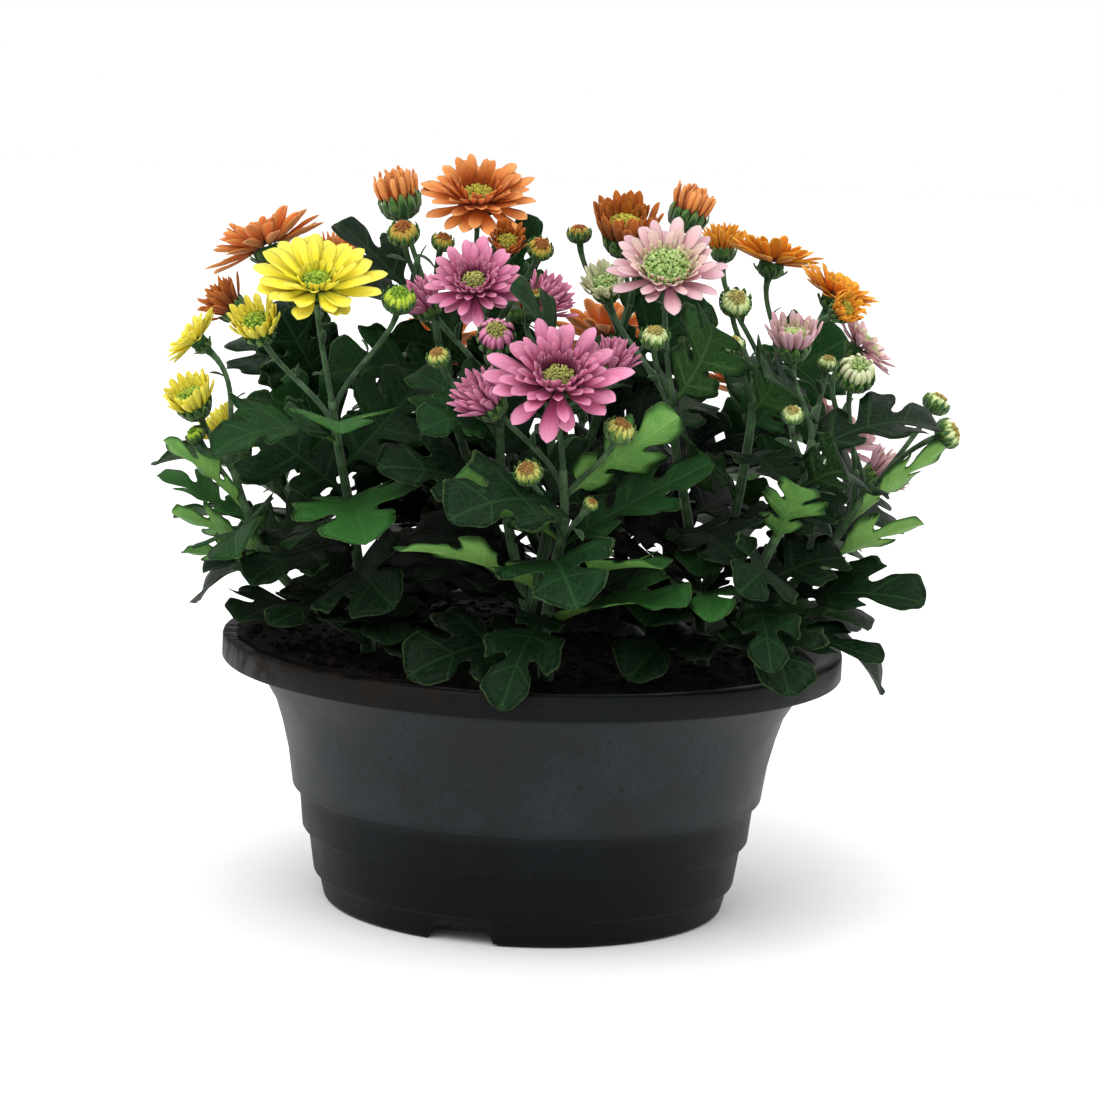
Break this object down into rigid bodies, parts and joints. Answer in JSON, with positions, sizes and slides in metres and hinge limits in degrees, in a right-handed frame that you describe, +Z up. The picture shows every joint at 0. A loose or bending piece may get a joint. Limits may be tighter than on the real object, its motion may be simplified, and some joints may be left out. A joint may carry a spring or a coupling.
{
  "type": "potted chrysanthemum plants",
  "caption": "Low round plastic bowl pot of soil with leafy chrysanthemum plants that carry yellow, pink, pale pink and bronze blooms and buds.",
  "frame": {"origin": "middle of the flat pad under the pot, on the surface that the pot stands on", "axes": "+Z up, -Y the side of the plants that the picture shows, +X to its right"},
  "size_m": [0.2979, 0.2779, 0.2754],
  "materials": {
    "pot_plastic": "matte",
    "soil": "matte",
    "leaf_green": "matte",
    "petal_yellow": "matte",
    "petal_bronze": "matte",
    "petal_amber": "matte",
    "petal_pink": "matte",
    "petal_pale_pink": "matte",
    "petal_cream": "matte",
    "eye_green": "matte",
    "eye_lime": "matte"
  },
  "bodies": {
    "root": {"bloom_a15_eye": "eye_green", "bloom_a15_petals": "petal_amber", "bloom_a16_eye": "eye_green", "bloom_a16_petals": "petal_amber", "bloom_b1_eye": "eye_green", "bloom_b1_petals": "petal_bronze", "bloom_b4_eye": "eye_green", "bloom_b4_petals": "petal_bronze", "bloom_k1_eye": "eye_green", "bloom_k1_petals": "petal_bronze", "bloom_k2_eye": "eye_green", "bloom_k2_petals": "petal_bronze", "bloom_k3_eye": "eye_green", "bloom_k3_petals": "petal_bronze", "bloom_p1_eye": "eye_green", "bloom_p1_petals": "petal_pink", "bloom_p2_eye": "eye_green", "bloom_p2_petals": "petal_pink", "bloom_w1_eye": "eye_lime", "bloom_w1_petals": "petal_pale_pink", "bloom_w7_eye": "eye_lime", "bloom_w7_petals": "petal_pale_pink", "bloom_wk1_eye": "eye_lime", "bloom_wk1_petals": "petal_pale_pink", "bloom_y1_eye": "eye_green", "bloom_y1_petals": "petal_yellow", "bloom_y3_eye": "eye_green", "bloom_y3_petals": "petal_yellow", "bloom_yk1_eye": "eye_green", "bloom_yk1_petals": "petal_yellow", "bud_b11": "petal_bronze", "bud_b2": "petal_bronze", "bud_p5": "petal_pink", "bud_w8": "petal_pale_pink", "head_a14": "petal_amber", "head_a17": "petal_amber", "head_b10": "petal_bronze", "head_b5": "petal_bronze", "head_b6": "petal_bronze", "head_b7": "petal_bronze", "head_k4": "petal_bronze", "head_k5": "petal_bronze", "head_p3": "petal_pink", "head_p4": "petal_pink", "head_p6": "petal_pink", "head_p7": "petal_pink", "head_w2": "petal_cream", "head_w3": "petal_pale_pink", "head_wk2": "petal_pale_pink", "head_y2": "petal_yellow", "head_y4": "petal_yellow", "head_yk2": "petal_yellow", "plant_bronze": "leaf_green", "plant_pale": "leaf_green", "plant_pink": "leaf_green", "plant_yellow": "leaf_green", "pot": "pot_plastic", "soil": "soil"}
  },
  "joints": []
}
